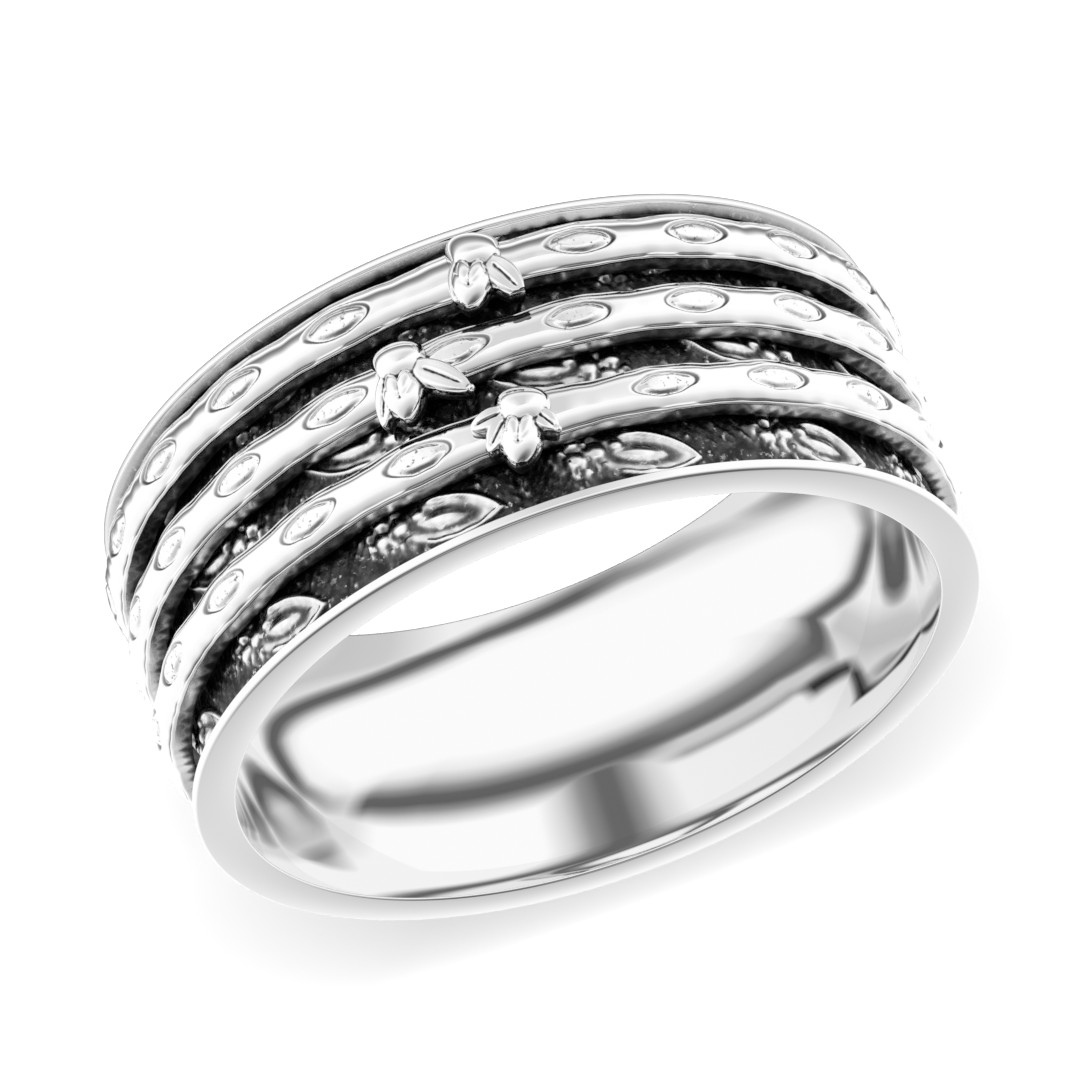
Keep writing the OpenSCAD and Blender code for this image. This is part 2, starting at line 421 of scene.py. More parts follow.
# The sleeve
def bare_field(theta, z):
    """1 where the channel next to the back flange is rubbed bare of oxide."""
    turn_away = np.degrees(np.abs((theta - math.radians(BARE_AT) + math.pi) % TAU - math.pi))
    return smooth(BARE_SPAN, BARE_SPAN * BARE_FULL, turn_away) * smooth(BACK_Z, BACK_Z - BARE_FADE, z)


def make_sleeve():
    """The turned casting without its relief: bore, flanges and channel floor."""
    side = [
        (BORE_R, HALF_W, BORE_EDGE),
        (FLANGE_R, HALF_W, RIM_EDGE),
        (FLANGE_R, HALF_W - RIM_T, RIM_BACK_EDGE),
        (FLANGE_R - RIM_BEVEL, CHANNEL_Z, BEVEL_EDGE),
        (FLOOR_R, CHANNEL_Z, FLOOR_EDGE),
    ]
    back = [(r, -z, f) for r, z, f in reversed(side)]
    outline = filleted(side + back, SLEEVE_STEP)
    theta = np.linspace(0, TAU, SLEEVE_TURNS, endpoint=False)[:, None]
    r = np.broadcast_to(outline[:, 0], (SLEEVE_TURNS, len(outline)))
    z = np.broadcast_to(outline[:, 1], r.shape)
    below_rim = smooth(*(FLANGE_R - d for d in OXIDE_BELOW_RIM), r)
    in_channel = smooth(*(CHANNEL_Z + d for d in OXIDE_PAST_END), np.abs(z))
    above_bore = smooth(*(BORE_R + d for d in OXIDE_ABOVE_BORE), r)
    patina = below_rim * in_channel * above_bore * (1 - BARE_SLEEVE * bare_field(theta, z))
    return new_mesh("sleeve", around(theta, r, z).reshape(-1, 3), loop_faces(*r.shape), patina=patina)


# The relief
def boss(x, y, rx, ry, height, pointed=0.0):
    """Height of a rounded boss of half sizes rx and ry, 0 outside it."""
    across = y / ry * (1 + pointed * (x / rx) ** 2)
    return height * np.sqrt(np.clip(1 - (x / rx) ** 2 - across ** 2, 0, 1))


def leaf_field(x, y, vary):
    """Height, patina and crumbs of one leaf, with x from its tip to its tail and y across it."""
    arc_r = (LEAF_L ** 2 + LEAF_W ** 2) / (4 * LEAF_W)
    inside = arc_r - np.hypot(x, np.abs(y) + arc_r - LEAF_W / 2)
    half = LEAF_LINE / 2 * (1 + LINE_VARIES * vary)
    before_tail = smooth(OUTLINE_SHARE * LEAF_L + OUTLINE_FADE, OUTLINE_SHARE * LEAF_L, x)
    line = RELIEF_H * np.sqrt(np.clip(1 - ((inside - half) / half) ** 2, 0, 1)) * before_tail
    body_end = smooth(*(share * LEAF_L for share in BODY_END), x)
    body = LEAF_BODY * smooth(0.0, BODY_RISE, inside) * body_end * (1 + BODY_VARIES * vary)
    eye = boss(x, y, EYE_L / 2, EYE_W / 2, RELIEF_H * EYE_SHARE, pointed=EYE_POINT)
    bud = boss(x - LEAF_L * BUD_AT, y, *BUD_SIZE, RELIEF_H * BUD_SHARE)
    height = np.maximum.reduce([line, body, eye, bud])
    moat = smooth(*MOAT, np.hypot(x / (EYE_L / 2), y / (EYE_W / 2))) * (eye <= 0)
    height = height - MOAT_D * moat * (body > BODY_FOOT)
    for along, across, size in GRAINS:
        r = size * GRAIN_R
        top = min(r * GRAIN_ROUND[1], RELIEF_H)
        height = np.maximum(height, boss(x - along * LEAF_L, y - across * LEAF_W, r, r * GRAIN_ROUND[0], top))
    patina = LEAF_PATINA - BODY_BRIGHT * smooth(BODY_FOOT / 2, LEAF_BODY, body) + MOAT_DARK * moat
    patina = np.minimum(patina, 1 - smooth(*(LEAF_BODY + d for d in POLISHED_FROM), height))
    from_grains = np.hypot((x - CRUMBS_AT[0]) / CRUMBS_SIZE[0], (y - CRUMBS_AT[1]) / CRUMBS_SIZE[1])
    crumbs = smooth(*CRUMBS_EDGE, from_grains + CRUMBS_WARP * vary) * (body < BODY_FOOT)
    return height, patina, crumbs


def relief_field(theta, z):
    """Height and patina of the whole channel floor."""
    lumps = waves(theta, z, **LUMPS)
    fine = waves(theta, z, **FINE)
    height = np.zeros(lumps.shape)
    patina = np.full(lumps.shape, GROUND_PATINA)
    crumbs = np.zeros(lumps.shape)
    for number, (row_z, tail, lean, turn) in enumerate(LEAF_ROWS):
        place = (theta - math.radians(LEAF_PHASE)) / (TAU / LEAF_N) - turn
        index = np.round(place)
        picks = np.random.default_rng(LEAF_SEED + number).uniform(-1, 1, (3, LEAF_N))
        nudge = picks[:, index.astype(int) % LEAF_N]
        a = (place - index) * TAU / LEAF_N * FLOOR_R + LEAF_SHIFT[0] * nudge[0] + LEAF_WARP * lumps
        b = z - row_z + LEAF_SHIFT[1] * nudge[1]
        slope = math.radians(lean * LEAF_TILT) + LEAF_TURN * nudge[2]
        x = (a * np.cos(slope) + b * np.sin(slope)) * tail
        y = (b * np.cos(slope) - a * np.sin(slope)) * lean
        leaf_height, leaf_patina, leaf_crumbs = leaf_field(x, y, LEAF_VARIES * lumps)
        crumbs = np.maximum(crumbs, leaf_crumbs)
        patina = np.where(leaf_height > height, np.minimum(patina, leaf_patina), patina)
        height = np.maximum(height, leaf_height)
    rough = smooth(*ROUGH_BELOW, height)
    height = height + rough * crumbs * (CRUMB_H[0] + CRUMB_H[1] * fine)
    patina = patina * (1 - crumbs * (CRUMB_BRIGHT[0] + CRUMB_BRIGHT[1] * smooth(*CRUMBS_FINE, fine)))
    specks = smooth(*SPECKS_FINE, fine) * smooth(*SPECKS_LUMPS, lumps)
    height = height + rough * (GROUND + LUMP_H * lumps + FINE_H * fine + SPECK_H * specks)
    streaks = smooth(*STREAKS_LUMPS, lumps) * smooth(*STREAKS_FINE, fine)
    patina = patina - rough * (STREAK_BRIGHT * streaks + SPECK_BRIGHT * specks - LUMP_DARK * lumps)
    patina = patina - RIDGE_BRIGHT * fine * smooth(*RIDGE_FROM, height)
    patina = patina * (1 - bare_field(theta, z) * (BARE_RELIEF[0] + BARE_RELIEF[1] * lumps))
    return np.clip(height, 0, RELIEF_H), np.clip(patina, 0, 1)


def make_relief(name, low, high):
    """The cast floor of the channel between two places along the finger, as a closed strip."""
    rows = [low]
    while rows[-1] < high - LAST_STEP:
        under = any(abs(rows[-1] - middle) < SPIN_W / 2 - SEEN_UNDER for _, _, middle, _, _ in BANDS)
        rows.append(min(high, rows[-1] + (HIDDEN_STEP if under else SEEN_STEP)))
    theta = np.linspace(0, TAU, RELIEF_TURNS, endpoint=False)[:, None]
    z = np.array(rows)[None, :]
    # each point takes the mean round it, so that no ridge is sharper than the mesh
    turn_step, side_step = TAU / RELIEF_TURNS / 2, SEEN_STEP / 2
    places = [(i, j) for i in (-1, 0, 1) for j in (-1, 0, 1)]
    fields = [relief_field(theta + i * turn_step, z + j * side_step) for i, j in places]
    height, patina = np.mean(fields, axis=0)
    beyond = ((0, 0), (1, 1))
    top = FLOOR_R + STRIP_LIFT + height * STRIP_SHARE
    r = np.pad(top, beyond, constant_values=FLOOR_R - STRIP_SINK)
    z = np.concatenate([[low], rows, [high]])[None, :] + 0 * r
    patina = np.pad(patina, beyond, constant_values=1)
    return new_mesh(name, around(theta, r, z).reshape(-1, 3), loop_faces(*r.shape), patina=patina)


# The bands
def dimple_field(theta, z, first, bee, seed):
    """Depth of the dimples at angle theta and height z from the band's middle, their rim field, which is
    the place across a dimple's outline with 1 at its edge, and a painted shade from 0 to 1 that darkens that
    outline on one side."""
    pitch = TAU / DIMPLE_N
    place = (theta - math.radians(first)) / pitch
    index = np.round(place)
    u = (place - index) * pitch * CROWN_R
    picks = np.random.default_rng(seed).uniform(-1, 1, (5, DIMPLE_N))[:, index.astype(int) % DIMPLE_N]
    turn = picks[0] * DIMPLE_TURN
    half_l = DIMPLE_L / 2 * (DIMPLE_LENGTHS[0] + DIMPLE_LENGTHS[1] * picks[1])
    half_w = DIMPLE_W / 2 * (DIMPLE_WIDTHS[0] + DIMPLE_WIDTHS[1] * picks[2])
    x = (u * np.cos(turn) + z * np.sin(turn)) / half_l
    y = (z * np.cos(turn) - u * np.sin(turn) + DIMPLE_SHIFT * picks[4]) / half_w
    wobble = DIMPLE_WOBBLE * waves(theta, z, seed + WOBBLE_SEED, **WOBBLE_WAVES)
    rho = np.sqrt(x ** 2 + y ** 2 * (1 + DIMPLE_POINT * x ** 2)) + wobble
    pillow = PILLOW_SHARE * (1 - smooth(*PILLOW_SIDE, rho))
    depth = DIMPLE_D * (1 - smooth(*GROOVE_SIDE, rho) - pillow)
    bee_away = np.abs((first + index * 360 / DIMPLE_N - bee + 180) % 360 - 180)
    kept = (bee_away > BEE_ROOM).astype(float)
    # painted shade: each dimple's outline is darker on one side, as if light fell from the other
    shade = 0.5 + 0.5 * np.cos(np.arctan2(y, x) - math.pi * (PAINTED_SHADE_AT[0] + PAINTED_SHADE_AT[1] * picks[3]))
    return depth * kept, np.where(kept > 0, np.minimum(rho, NO_RIM), NO_RIM), shade


def dome_rows(theta, z, v, crown, first, bee, seed):
    """Radius, patina, rim and painted shade of a band's outside, at v half widths from its middle."""
    dome_r = crown - DOME_DROP * np.minimum(v / DOME_SHARE, 1) ** DOME_CURVE * DOME_DROP_SHARE
    depth, rim, shade = dimple_field(theta, z, first, bee, seed)
    uneven = smooth(*LINE_BREAKS, waves(theta, z, seed + LINE_SEED, **LINE_WAVES))
    line = np.exp(-((v - LINE_AT) / LINE_SPREAD) ** 2) * uneven
    ledge = LEDGE_DROP * smooth(*LEDGE_AT, v) + CORNER_DROP * smooth(*CORNER_AT, v) ** 2
    hand_made = HAND_MADE * waves(theta, z, seed + HAND_SEED, **HAND_WAVES)
    r = dome_r - depth * smooth(*DIMPLE_FADE, v) - LINE_D * line - ledge + hand_made - HAND_MADE
    return r, LINE_PATINA * line + 0 * r, rim, shade


def wall_rows(edge, width, side, wear):
    """Radius, height and patina of each row down a band's side wall, from the dome's edge to the bore."""
    rows = []
    for down, out in WALL_ROWS:
        black = WALL_PATINA * smooth(*WALL_DARK, down + WEAR_MOVES * wear)
        patina = black + WALL_LEAST + WEAR_DARKENS * np.clip(wear, 0, 1)
        rows.append((edge * (1 - down) + SPIN_IN_R * down, side * width / 2 * out, patina))
    return rows


def make_band(node, body, middle, first, bee, seed):
    """A loose band: flat inside and at the sides, with a dimpled and gently swelling dome outside."""
    theta = np.linspace(0, TAU, BAND_TURNS, endpoint=False)[:, None]
    dome = np.linspace(-DOME_SHARE, DOME_SHARE, DOME_ROWS)
    share = np.concatenate([-np.array(EDGE_ROWS[::-1]), dome, EDGE_ROWS])[None, :]
    place = (theta - math.radians(first)) / (TAU / DIMPLE_N)
    swell = (0.5 + 0.5 * np.cos(TAU * place)) ** SWELL_CURVE
    width = WAIST_W + (SPIN_W - WAIST_W) * swell
    crown = WAIST_R + WAIST_DROP * swell
    z = share * width / 2
    r, patina, rim, shade = dome_rows(theta, z, np.abs(share), crown, first, bee, seed)
    edge = r[:, -1:]
    wear = WEAR * waves(theta, 0.0, seed + WEAR_SEED, **WEAR_WAVES)
    inner = np.full_like(edge, SPIN_IN_R)
    bore = [(inner, width / 2 * out, np.full_like(edge, BORE_PATINA)) for out in BORE_ROWS]
    down, up = wall_rows(edge, width, 1, wear), wall_rows(edge, width, -1, wear)[::-1]
    r, z, patina = (np.concatenate(rows, 1) for rows in zip((r, z, patina), *down, *bore, *up))
    beyond = ((0, 0), (0, r.shape[1] - rim.shape[1]))
    rim = np.pad(rim, beyond, constant_values=NO_RIM)
    shade = np.pad(shade, beyond)
    points = around(theta, r, z + middle)
    name = body.replace("_spinner", "_band")
    obj = new_mesh(name, points.reshape(-1, 3), loop_faces(*r.shape), patina=patina, rim=rim, shade=shade)
    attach(obj, body)
    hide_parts(node)
    return obj


# The bees
def closed_blob(rings, sides, place):
    """A closed surface from a function of (share along, angle round). Gives points and faces."""
    s = np.linspace(0, 1, rings)[:, None]
    a = (np.arange(sides) / sides * TAU)[None, :]
    p = place(s, a)
    faces = list(loop_faces(rings, sides).reshape(rings, sides, 4)[:-1].reshape(-1, 4))
    faces += [np.arange(sides), np.arange((rings - 1) * sides, rings * sides)[::-1]]
    return p.reshape(-1, 3), faces


def egg(cx, cy, cz, rx, ry, rz):
    """An ellipsoid round (cx, cy, cz) with its poles along y."""
    def place(s, a):
        t = EGG_TIP + s * (math.pi - 2 * EGG_TIP)
        return np.stack([cx + rx * np.sin(t) * np.cos(a), cy - ry * np.cos(t) + 0 * a,
                         cz + rz * np.sin(t) * np.sin(a)], -1)
    return closed_blob(*EGG_GRID, place)


def petal(x, y, turn, length, width, height, sink=0.25, full=0.75, skew=0.85, vault=0.5, flat=0.75, rim=0.0,
          crease=0.0, crease_w=0.05, crease_span=(0.2, 0.9)):
    """A pointed pod from its root at (x, y). turn is its angle to the spine, towards +x. A smaller full
    makes it blunter. skew below 1 moves its widest place to the root, vault lowers its ends, flat below 1
    squares its section, and rim raises its edge above a hollow top."""
    def place(s, a):
        s = PETAL_TIP + (1 - 2 * PETAL_TIP) * s
        half = width / 2 * np.sin(math.pi * s ** skew) ** full
        across = np.sign(np.cos(a)) * np.abs(np.cos(a)) ** (0.5 + 0.5 * flat)
        local_x = half * across
        top = height * (1 - vault + vault * np.sin(math.pi * s) ** VAULT_CURVE)
        up = np.sin(a)
        local_z = np.where(up > 0, top * np.abs(up) ** flat, -sink * np.abs(up) ** UNDER_CURVE)
        start, end = crease_span
        middle = smooth(start, start + CREASE_STARTS, s) * smooth(end, end - CREASE_ENDS, s)
        local_z = local_z - crease * np.exp(-(local_x / crease_w) ** 2) * middle * (up > 0)
        hollow = smooth(*HOLLOW_ACROSS, np.abs(across)) * smooth(*HOLLOW_ALONG, s)
        local_z = local_z - rim * hollow * (up > 0)
        local_y = length * s + 0 * a
        c, k = math.cos(turn), math.sin(turn)
        return np.stack([x + local_x * c + local_y * k, y + local_y * c - local_x * k, local_z], -1)
    return closed_blob(*PETAL_GRID, place)


def bee_parts(length, wings):
    """A bee in its own flat: x across, y from head to tail, z up from the band. Its length is centred."""
    head = -length / 2
    top = BEE_H + WAIST_DROP
    neck = head + NECK_AT * length
    tail_l = head + length - neck
    parts = [
        petal(0, head - HEAD_FORWARD, 0, HEAD_SHARE * length, HEAD_W, top, **HEAD_FORM),
        petal(0, neck, 0, tail_l, TAIL_W, top * TAIL_H, **TAIL_FORM),
    ]
    for s in (-1, 1):
        parts.append(petal(s * LOBE_ASIDE, neck, s * LOBE_TURN, LOBE_SHARE * length, LOBE_W, top * LOBE_H,
                           **LOBE_FORM))
    root = head + ROOT_AT * length
    for side, spread, wing_l, wing_w in wings:
        turn = math.radians(spread)
        parts.append(petal(side * WING_ASIDE, root, side * turn, wing_l, wing_w, WING_H, **WING_FORM))
    # a bead at the tip of the last wing
    tip_x = side * (WING_ASIDE + math.sin(turn) * wing_l)
    tip_y = root + math.cos(turn) * wing_l
    parts.append(egg(tip_x, tip_y, BEAD_Z, BEAD_R, BEAD_R, BEAD_H))
    return parts


def hollows(points, quads, soft=3):
    """How far each point lies below its neighbours, as a share of the mean edge: above 0 in a crease."""
    edges = np.concatenate([quads[:, [k, (k + 1) % 4]] for k in range(4)])
    edges = np.concatenate([edges, edges[:, ::-1]])
    count = np.maximum(np.bincount(edges[:, 0], minlength=len(points)), 1)
    a, b = points[quads[:, 2]] - points[quads[:, 0]], points[quads[:, 3]] - points[quads[:, 1]]
    face_n = np.cross(a, b)
    normal = np.zeros_like(points)
    for k in range(4):
        np.add.at(normal, quads[:, k], face_n)
    normal /= np.linalg.norm(normal, axis=1)[:, None] + 1e-12

    def mean(v):
        """The mean of v over each point's neighbours."""
        if v.ndim == 1:
            return np.bincount(edges[:, 0], weights=v[edges[:, 1]], minlength=len(v)) / count
        return np.stack([mean(v[:, k]) for k in range(v.shape[1])], -1)
    size = np.linalg.norm(points[edges[:, 0]] - points[edges[:, 1]], axis=1).mean()
    deep = ((mean(points) - points) * normal).sum(1) / size
    for _ in range(soft):
        deep = (deep + mean(deep)) / 2
    return deep


def melted(parts):
    """The parts of a bee as one skin with softened creases. Gives its points and quads."""
    points, faces, count = [], [], 0
    for part_points, part_faces in parts:
        points.append(part_points)
        faces += [face + count for face in part_faces]
        count += len(part_points)
    # one unit a millimetre while it is melted
    raw = new_mesh("raw", np.concatenate(points) / MM, faces)
    melt = raw.modifiers.new("melt", "REMESH")
    melt.mode = "VOXEL"
    melt.voxel_size = BEE_VOXEL
    soft = raw.modifiers.new("soft", "SMOOTH")
    soft.factor = 0.5
    soft.iterations = 2
    done = raw.evaluated_get(bpy.context.evaluated_depsgraph_get()).to_mesh()
    points = np.empty(len(done.vertices) * 3)
    done.vertices.foreach_get("co", points)
    quads = np.empty(len(done.loops), np.int32)
    done.loops.foreach_get("vertex_index", quads)
    bpy.data.objects.remove(raw)
    return points.reshape(-1, 3), quads.reshape(-1, 4)


def make_bee(node, body, at, lean, wings):
    """A soldered bee. Its parts are melted together, then bent round the band."""
    low, high = (corner.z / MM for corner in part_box(node))
    tilt = math.radians(lean)
    flat, quads = melted(bee_parts((high - low) / math.cos(tilt) - BEE_SHORTER, wings))
    x = flat[:, 0] * math.cos(tilt) + flat[:, 1] * math.sin(tilt)
    y = flat[:, 1] * math.cos(tilt) - flat[:, 0] * math.sin(tilt)
    y = y - y.min() + low + BEE_INSIDE[0]
    y = np.minimum(y, high - BEE_INSIDE[1])
    theta = math.radians(at) + x / WAIST_R
    foot = 1 - smooth(*FOOT_DARK, flat[:, 2])
    dark = np.maximum(foot, smooth(*CREASE_DARK, hollows(flat, quads)))
    points = around(theta, WAIST_R + flat[:, 2], y)
    rim = np.full(len(points), float(NO_RIM))
    obj = new_mesh(body.replace("_spinner", "_bee"), points, quads, patina=dark, rim=rim)
    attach(obj, body)
    return obj


# Materials
def node_tree(owner):
    """The empty node tree of a material or world."""
    owner.use_nodes = True
    tree = owner.node_tree
    tree.nodes.clear()
    return tree


def add(tree, kind, **settings):
    """A new node of that kind, with its settings."""
    node = tree.nodes.new(kind)
    for key, value in settings.items():
        setattr(node, key, value)
    return node


def feed(tree, socket, value):
    """Links value to the socket where it is a socket too, and otherwise sets it."""
    if isinstance(value, bpy.types.NodeSocket):
        tree.links.new(value, socket)
    else:
        socket.default_value = value


def maths(tree, operation, *values):
    """The result of a sum on numbers and sockets. MULTIPLY_ADD is the first times the second, plus the
    third."""
    node = add(tree, "ShaderNodeMath", operation=operation)
    for socket, value in zip(node.inputs, values):
        feed(tree, socket, value)
    return node.outputs[0]


def ramp(tree, value, *stops):
    """A grey scale along value, straight between stops of (place, grey)."""
    node = add(tree, "ShaderNodeValToRGB")
    elements = node.color_ramp.elements
    for i, (at, grey) in enumerate(stops):
        stop = elements[i] if i < 2 else elements.new(at)
        stop.position = at
        stop.color = (grey, grey, grey, 1)
    feed(tree, node.inputs[0], value)
    return node.outputs["Color"]


def noise(tree, scale, detail, roughness=0.5):
    """Cloudy noise of about 0.3 to 0.7 that is fixed to the piece. scale is in cycles a metre."""
    node = add(tree, "ShaderNodeTexNoise")
    node.inputs["Scale"].default_value = scale
    node.inputs["Detail"].default_value = detail
    node.inputs["Roughness"].default_value = roughness
    coords = add(tree, "ShaderNodeTexCoord")
    tree.links.new(coords.outputs["Object"], node.inputs["Vector"])
    return node.outputs["Fac"]


def field(tree, name):
    """A mesh's point attribute."""
    return add(tree, "ShaderNodeAttribute", attribute_name=name).outputs["Fac"]


# Noises of the silver: cycles a metre, octaves, roughness
PATCHES = (3200, 5, 0.65)
WANDERING = (2400, 2)
PITTING = (8000, 3, 0.6)
CROWDING = (1300, 2)
SPECKLE = (5200, 4, 0.65)
HANDLING = (900, 8, 0.7)
CAST_GRAIN = (7000, 3)
# Across a dimple's outline: how dark its line is, how far that wanders, and where the inside ends
DARK_LINE = [(0.0, 0), (0.82, 0), (0.88, 0.9), (0.93, 0.7), (0.98, 0)]
WANDER = 0.08
INSIDE_ENDS = 0.85
# How much the painted shade darkens the line on its dark side, and how dark the line is on its light side
LINE_PAINTED_SHADE = (0.7, 0.3)
# By noise: how black the pits are, how much of the specks is left, and where the specks start
PITS = [(0.30, 0.5), (0.40, 0)]
CROWDED = [(0.42, 0.25), (0.62, 1)]
SPECKS_FROM = (0.57, 0.64)
# By amount of oxide: the place and share of the silver's own grey where it is only tarnished, the greys past
# that, and how much roughness it adds
TARNISHED = (0.18, 0.8)
OXIDE_GREYS = [(0.42, 0.33), (0.68, 0.14), (0.85, 0.075), (1.0, 0.035)]
DULL = [(0.02, 0), (0.14, 0.24), (1.0, 0.3)]
# The bump's height in metres, and its strength inside the dimples as a share of that in the oxide
BUMP_H = 0.00003
DIMPLE_GRAIN = 0.35
# The finishes of the sleeve and of the bands, as silver takes them
SLEEVE_FINISH = {"bright": 0.93, "rough": 0.03, "patchy": 0.9, "grain": 0.8, "marked": 0, "sparkle": 0.75}
BAND_FINISH = {"bright": 0.95, "rough": 0.05, "patchy": 0.6, "grain": 0.6, "marked": 1, "sparkle": 0.3}


def silver(name, bright, rough, patchy, grain, marked, sparkle):
    """Polished silver that turns to black oxide where the patina field is 1 and along dimple outlines, with
    painted shade on one side of each outline.
    bright and rough are its grey and its roughness where it is clean, patchy and grain say how uneven the
    oxide and the cast surface are, marked is 1 for a piece that has dimples, and sparkle says how bright the
    bare specks in the oxide are."""
    material = bpy.data.materials.new(name)
    tree = node_tree(material)
    out = add(tree, "ShaderNodeOutputMaterial")
    shader = add(tree, "ShaderNodeBsdfPrincipled")
    shader.inputs["Metallic"].default_value = 1
    tree.links.new(shader.outputs[0], out.inputs[0])
    # patches of thicker and thinner oxide, with bare specks in it
    patches = maths(tree, "MULTIPLY", maths(tree, "SUBTRACT", noise(tree, *PATCHES), 0.5), patchy)
    worn = maths(tree, "MULTIPLY_ADD", field(tree, "patina"), patches, field(tree, "patina"))
    start, full = SPECKS_FROM
    specks = ramp(tree, noise(tree, *SPECKLE), (start, 0), (full, sparkle))
    specks = maths(tree, "MULTIPLY", specks, ramp(tree, noise(tree, *CROWDING), *CROWDED))
    worn = maths(tree, "MULTIPLY", worn, maths(tree, "SUBTRACT", 1, specks))
    # a thin dark outline of oxide round each dimple, darker on one side by painted shade, and pits inside it
    rim = maths(tree, "SUBTRACT", field(tree, "rim"), WANDER / 2)
    across = maths(tree, "MULTIPLY_ADD", noise(tree, *WANDERING), WANDER, rim)
    line = maths(tree, "MULTIPLY", ramp(tree, across, *DARK_LINE), marked)
    line = maths(tree, "MULTIPLY", line, maths(tree, "MULTIPLY_ADD", field(tree, "shade"), *LINE_PAINTED_SHADE))
    inside = maths(tree, "MULTIPLY", maths(tree, "LESS_THAN", field(tree, "rim"), INSIDE_ENDS), marked)
    pits = maths(tree, "MULTIPLY", ramp(tree, noise(tree, *PITTING), *PITS), inside)
    oxide = maths(tree, "MAXIMUM", worn, maths(tree, "MAXIMUM", line, pits))
    tarnish_at, tarnish = TARNISHED
    colour = ramp(tree, oxide, (0.0, bright), (tarnish_at, bright * tarnish), *OXIDE_GREYS)
    tree.links.new(colour, shader.inputs["Base Color"])
    # handling marks: faint changes of gloss, and dull oxide
    gloss = maths(tree, "MULTIPLY_ADD", noise(tree, *HANDLING), rough, rough * 0.5)
    tree.links.new(maths(tree, "ADD", ramp(tree, oxide, *DULL), gloss), shader.inputs["Roughness"])
    # cast grain, strongest in the oxide and inside the dimples
    depth = maths(tree, "MULTIPLY", oxide, grain)
    bump = add(tree, "ShaderNodeBump")
    bump.inputs["Distance"].default_value = BUMP_H
    feed(tree, bump.inputs["Height"], noise(tree, *CAST_GRAIN))
    feed(tree, bump.inputs["Strength"], maths(tree, "MULTIPLY_ADD", inside, DIMPLE_GRAIN * grain, depth))
    tree.links.new(bump.outputs[0], shader.inputs["Normal"])
    return material


# The camera, in millimetres and degrees
CAMERA_AT = (2.04, -143.88, 76.68)
CAMERA_AIM = (-0.19, -1.40, 0.0)
CAMERA_ROLL = 159.58
CAMERA_LENS = 219.8
SENSOR = 36.0
# Nearest and farthest that it sees, in metres
CLIP = (0.01, 20)


def make_camera():
    """The camera at the photograph's angle to the ring, above the floor."""
    data = bpy.data.cameras.new("camera")
    data.lens = CAMERA_LENS
    data.sensor_width = SENSOR
    data.clip_start, data.clip_end = CLIP
    camera = new_object("camera", data)
    at, aim = Vector(CAMERA_AT) * MM, Vector(CAMERA_AIM) * MM
    look = (aim - at).to_track_quat("-Z", "Y").to_matrix().to_4x4()
    camera.matrix_world = Matrix.Translation(at) @ look @ Matrix.Rotation(math.radians(CAMERA_ROLL), 4, "Z")
    bpy.context.scene.camera = camera


# A painted reflection that polished metal sees in the bore: a glowing pattern on the floor inside the ring,
# in
# bore radii from the axis: a white softbox with a dark ring round it, and past the ring white paper, a grey
# wedge towards the camera and a dark stroke.
# Directions from the softbox are in turns: 0 and 1 are towards -x, 0.25 towards the camera, 0.5 towards +x.
PAINTED_SOFTBOX = (0.0, 0.34)
# By direction: how far out the softbox ends, and how wide its ring is
PAINTED_SOFTBOX_EDGE = [
    (0.58, 0.36), (0.61, 0.33), (0.64, 0.375), (0.67, 0.435), (0.705, 0.50),
    (0.75, 0.53), (0.80, 0.57), (0.85, 0.55), (0.92, 0.42), (1.0, 0.36),
]
RING_WIDTH = [
    (0.0, 1.0), (0.48, 1.0), (0.53, 1.25), (0.562, 1.45), (0.615, 0.57), (0.67, 0.6), (0.71, 0.5),
    (0.82, 0.5), (0.88, 0.8), (1.0, 1.0),
]
# Across the ring: brightness on the plain side, and on the side of +x, where it is doubled. The softbox
# ends at RING_STARTS.
RING_STARTS = 0.2
RING = [
    (0.04, 1.03), (0.14, 0.86), (0.2, 0.55), (0.24, 0.30), (0.29, 0.13), (0.34, 0.12), (0.39, 0.3),
    (0.44, 0.66), (0.50, 1.0),
]
DOUBLE_RING = [
    (0.04, 1.03), (0.14, 0.86), (0.2, 0.55), (0.24, 0.28), (0.29, 0.2), (0.335, 0.13), (0.36, 0.2),
    (0.39, 0.64), (0.44, 0.62), (0.49, 0.36), (0.54, 0.92),
]
# By direction: where the ring is doubled, how much of it is left, and the paper past it with its grey wedge
DOUBLED = [(0.28, 0), (0.33, 1), (0.53, 1), (0.57, 0)]
RING_LEFT = [(0.77, 1.0), (0.84, 0.65), (0.88, 0.4), (0.91, 1.0)]
PAINTED_PAPER = [
    (0.155, 1), (0.183, 0.68), (0.205, 0.30), (0.228, 0.14), (0.245, 0.14), (0.262, 0.30), (0.283, 0.66),
    (0.31, 0.9), (0.5, 0.86), (0.58, 0.75), (0.61, 0.58), (0.64, 0.62), (0.68, 0.9), (0.82, 0.9),
    (0.86, 0.78), (0.90, 0.8), (0.94, 1),
]
# How far out the paper starts and is full
PAINTED_PAPER_STARTS = [(0.42, 0), (0.55, 1)]
# The dark stroke: its place in x, its brightness aside from that, and how strong it is by y
STROKE_X = 0.71
STROKE_SIDE = [(0.0, 0.04), (0.03, 0.2), (0.08, 1)]
STROKE = [(0.28, 0), (0.38, 1), (0.66, 1), (0.8, 0)]
# The brightness of white here
BORE_WHITE = 1.03


def length_of(tree, x, y):
    """How long the vector (x, y) is."""
    squares = maths(tree, "MULTIPLY_ADD", x, x, maths(tree, "MULTIPLY", y, y))
    return maths(tree, "SQRT", squares)


def mix_to(tree, amount, value):
    """1 where amount is 0 and value where it is 1."""
    less = maths(tree, "SUBTRACT", value, 1)
    return maths(tree, "MULTIPLY_ADD", amount, less, 1)


